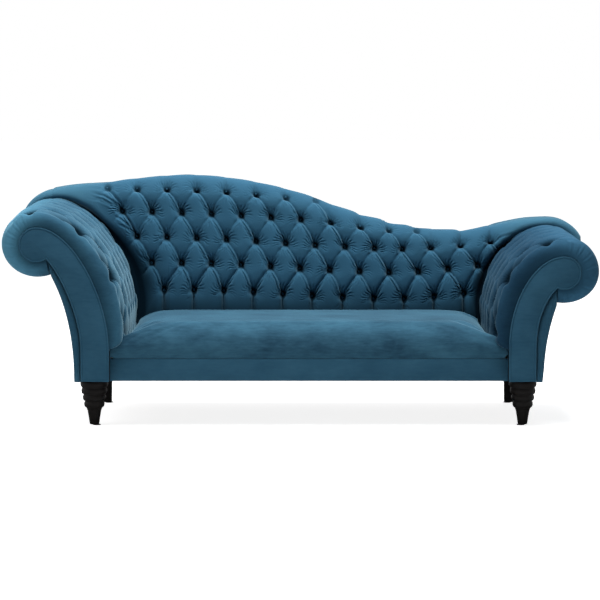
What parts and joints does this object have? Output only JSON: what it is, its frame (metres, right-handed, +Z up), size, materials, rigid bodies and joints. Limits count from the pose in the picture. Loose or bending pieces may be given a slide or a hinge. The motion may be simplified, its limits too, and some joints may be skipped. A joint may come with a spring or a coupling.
{
  "type": "fainting couch",
  "caption": "Deep button-tufted velvet fainting couch with a tall and a low scroll arm, a sweeping back, a tight bench seat, ringed front legs and square rear legs.",
  "frame": {"origin": "on the floor under the middle of the couch", "axes": "+X along the seat from the tall arm to the low arm, -Y out of the front, +Z up"},
  "size_m": [2.2187, 0.7898, 0.911],
  "materials": {
    "velvet": "petrol blue upholstery velvet with a directional pile",
    "beech": "bare sawn beech",
    "plywood": "bare birch plywood",
    "foam": "upholstery foam",
    "hessian": "woven jute hessian",
    "steel": "plain spring steel and zinc plate",
    "black_wood": "black satin lacquer",
    "cambric": "black dust cloth",
    "felt": "brown felt"
  },
  "bodies": {
    "root": {"seat_pad": "velvet", "front_apron": "velvet", "back_pad": "velvet", "outside_back": "velvet", "left_arm_facing": "velvet", "left_arm_pad": "velvet", "left_arm_outside_cover": "velvet", "left_shoulder_roll": "velvet", "right_arm_facing": "velvet", "right_arm_pad": "velvet", "right_arm_outside_cover": "velvet", "right_shoulder_roll": "velvet", "front_seat_rail": "beech", "back_seat_rail": "beech", "rear_tacking_rail": "beech", "left_seat_rail": "beech", "right_seat_rail": "beech", "middle_cross_rail": "beech", "back_top_rail": "beech", "back_left_post": "beech", "back_middle_post": "beech", "back_right_post": "beech", "left_arm_scroll_rail": "beech", "left_arm_tacking_rail": "beech", "left_front_leg_block": "beech", "left_rear_leg_block": "beech", "right_arm_scroll_rail": "beech", "right_arm_tacking_rail": "beech", "right_front_leg_block": "beech", "right_rear_leg_block": "beech", "left_arm_front_board": "plywood", "left_arm_rear_board": "plywood", "right_arm_front_board": "plywood", "right_arm_rear_board": "plywood", "seat_foam": "foam", "back_foam": "foam", "left_arm_foam": "foam", "right_arm_foam": "foam", "seat_hessian": "hessian", "back_webbing": "hessian", "left_arm_lining": "hessian", "right_arm_lining": "hessian", "seat_spring_set": "steel", "left_front_leg_bolt": "steel", "left_front_tee_nut": "steel", "left_rear_leg_bolt": "steel", "left_rear_tee_nut": "steel", "right_front_leg_bolt": "steel", "right_front_tee_nut": "steel", "right_rear_leg_bolt": "steel", "right_rear_tee_nut": "steel", "left_front_leg": "black_wood", "left_rear_leg": "black_wood", "right_front_leg": "black_wood", "right_rear_leg": "black_wood", "dust_cover": "cambric", "left_front_glide": "felt", "left_rear_glide": "felt", "right_front_glide": "felt", "right_rear_glide": "felt"}
  },
  "joints": []
}
